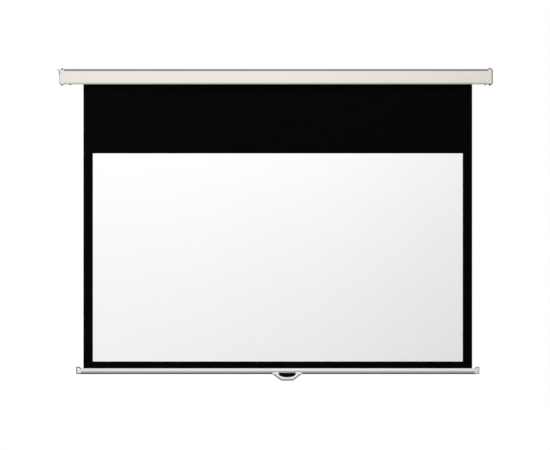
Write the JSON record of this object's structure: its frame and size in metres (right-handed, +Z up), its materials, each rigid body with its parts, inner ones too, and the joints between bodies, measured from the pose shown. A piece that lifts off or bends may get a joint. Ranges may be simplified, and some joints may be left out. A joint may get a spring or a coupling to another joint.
{
  "type": "pull down projector screen",
  "caption": "Spring roller projector screen in a slim steel case: masked white cloth pulled down on a weight bar with a D shaped pull handle.",
  "frame": {"origin": "middle of the wall face of the mounting rail, at half the height of the case", "axes": "+Z up, +Y towards the wall, +X to the viewer's right"},
  "size_m": [2.3962, 0.0821, 1.7213],
  "materials": {
    "case_enamel": "satin cream enamel",
    "cap_plastic": "fine moulded cream plastic",
    "rail_steel": "grey painted steel",
    "zinc_steel": "zinc plated steel",
    "dark_steel": "blackened steel",
    "drawn_aluminium": "satin anodised",
    "nylon": "moulded nylon",
    "black_cloth": "matt black coated glass fibre cloth",
    "white_cloth": "matt white vinyl",
    "white_plastic": "satin moulded plastic",
    "black_plastic": "soft black vinyl",
    "black_rubber": "soft black rubber"
  },
  "bodies": {
    "case": {"case_shell": "case_enamel", "mounting_rail": "rail_steel", "rail_rivet_1": "zinc_steel", "rail_rivet_2": "zinc_steel", "rail_rivet_3": "zinc_steel", "rail_rivet_4": "zinc_steel", "end_cap_left": "cap_plastic", "end_cap_right": "cap_plastic", "cap_screw_top_left": "dark_steel", "cap_screw_bottom_left": "dark_steel", "cap_screw_top_right": "dark_steel", "cap_screw_bottom_right": "dark_steel", "bracket_screw_top_left": "dark_steel", "bracket_screw_bottom_left": "dark_steel", "bracket_screw_top_right": "dark_steel", "bracket_screw_bottom_right": "dark_steel", "hanging_lug": "zinc_steel", "lug_screw": "dark_steel", "roller_bracket_left": "zinc_steel", "roller_bracket_right": "zinc_steel", "bearing_bush": "nylon", "spring_shaft": "zinc_steel", "ratchet_collar": "zinc_steel", "spring_arbor": "nylon", "screen_backing": "black_cloth", "viewing_layer": "white_cloth"},
    "roller": {"roller_tube": "drawn_aluminium", "wound_cloth": "black_cloth", "ratchet_plug": "nylon", "idle_plug": "nylon", "gudgeon_pin": "zinc_steel", "spring_anchor": "nylon", "torsion_spring": "zinc_steel", "pawl_pin_1": "zinc_steel", "pawl_pin_2": "zinc_steel"},
    "upper_pawl": {"pawl_1": "zinc_steel"},
    "lower_pawl": {"pawl_2": "zinc_steel"},
    "bar": {"weight_bar": "drawn_aluminium", "foot_strip": "black_plastic", "hem_rod": "nylon", "bar_cap_left": "white_plastic", "bar_cap_right": "white_plastic", "pull_handle": "white_plastic", "handle_grip": "black_rubber", "handle_screw_left": "zinc_steel", "handle_screw_right": "zinc_steel"}
  },
  "joints": [
    {"name": "bar_slide", "type": "slide", "parent": "case", "child": "bar", "axis": [0, 0, 1], "range_m": [0, 1.554], "deforming": ["screen_backing", "viewing_layer"]},
    {"name": "roller_turn", "type": "hinge", "parent": "case", "child": "roller", "pos_m": [0.0096, -0.042, 0], "axis": [1, 0, 0], "range_deg": [0, 3600]},
    {"name": "upper_pawl_swing", "type": "hinge", "parent": "roller", "child": "upper_pawl", "pos_m": [-1.1159, -0.042, 0.014], "axis": [-1, 0, 0], "range_deg": [-12, 10]},
    {"name": "lower_pawl_swing", "type": "hinge", "parent": "roller", "child": "lower_pawl", "pos_m": [-1.1159, -0.042, -0.014], "axis": [-1, 0, 0], "range_deg": [-12, 10]}
  ],
  "couplings": [
    {"joint": "roller_turn", "follows": "bar_slide", "rad_per_m": 40.432}
  ]
}
